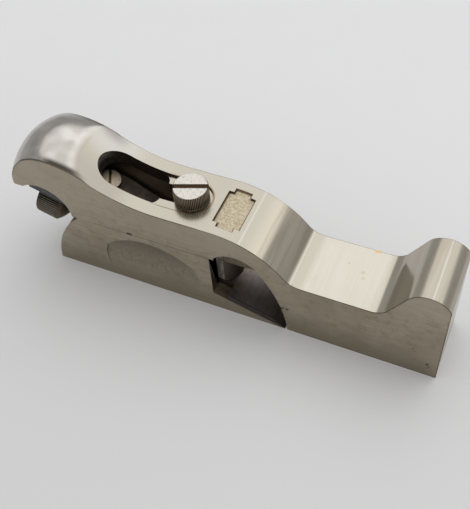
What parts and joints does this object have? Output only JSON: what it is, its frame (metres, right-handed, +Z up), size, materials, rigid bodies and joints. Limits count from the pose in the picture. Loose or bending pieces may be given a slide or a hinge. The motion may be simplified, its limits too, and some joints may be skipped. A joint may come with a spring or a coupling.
{
  "type": "shoulder plane",
  "caption": "Plated metal shoulder plane with a domed handle, an arched side throat, a sliding front casting that sets the mouth and a low-angle cutter fed by a knurled nut.",
  "frame": {"origin": "middle of the overall length and width, on the plane of the sole", "axes": "+X towards the toe, +Y to the left side seen from behind, +Z up from the sole"},
  "size_m": [0.165, 0.0254, 0.0598],
  "materials": {
    "lower_body": "nickel plated, satin ground sides",
    "upper_body": "nickel plated, satin brushed top and polished handle",
    "cutter": "ground tool steel, darkened with age",
    "lever_cap": "rough cast sides with a worn plated top",
    "lever_cap_screw": "satin, worn plating",
    "body_screw": "satin top, dark knurled rim",
    "adjuster_stud": "plain turned steel",
    "adjuster_nut": "dark straight knurl, worn plating"
  },
  "bodies": {
    "lower_body": {"lower_body": "lower_body", "adjuster_stud": "adjuster_stud"},
    "upper_body": {"upper_body": "upper_body"},
    "cutter": {"cutter": "cutter"},
    "lever_cap": {"lever_cap": "lever_cap"},
    "lever_cap_screw": {"lever_cap_screw": "lever_cap_screw"},
    "body_screw": {"body_screw": "body_screw"},
    "adjuster_nut": {"adjuster_nut": "adjuster_nut"}
  },
  "joints": [
    {"name": "mouth_slide", "type": "slide", "parent": "lower_body", "child": "upper_body", "axis": [1, 0, 0], "range_m": [-0.0003, 0.002]},
    {"name": "body_screw_turn", "type": "hinge", "parent": "lower_body", "child": "body_screw", "pos_m": [-0.01295, 0, 0.0435], "axis": [0, 0, 1], "range_deg": [0, 720]},
    {"name": "cutter_feed", "type": "slide", "parent": "lower_body", "child": "cutter", "axis": [0.9563, 0, -0.2924], "range_m": [-0.005, 0.0003]},
    {"name": "nut_turn", "type": "hinge", "parent": "cutter", "child": "adjuster_nut", "pos_m": [-0.07166, 0, 0.02178], "axis": [0.9563, 0, -0.2924], "range_deg": [-2250.2, 135.2]},
    {"name": "cap_screw_turn", "type": "hinge", "parent": "lower_body", "child": "lever_cap_screw", "pos_m": [-0.0475, 0, 0.03823], "axis": [0.2924, 0, 0.9563], "range_deg": [0, 477.6]},
    {"name": "cap_tilt", "type": "hinge", "parent": "lower_body", "child": "lever_cap", "pos_m": [-0.01295, 0, 0.0214], "axis": [0, -1, 0], "range_deg": [0, 2]}
  ],
  "couplings": [
    {"joint": "nut_turn", "follows": "cutter_feed", "rad_per_m": 7854},
    {"joint": "cap_screw_turn", "follows": "cap_tilt", "ratio": 238.54}
  ]
}
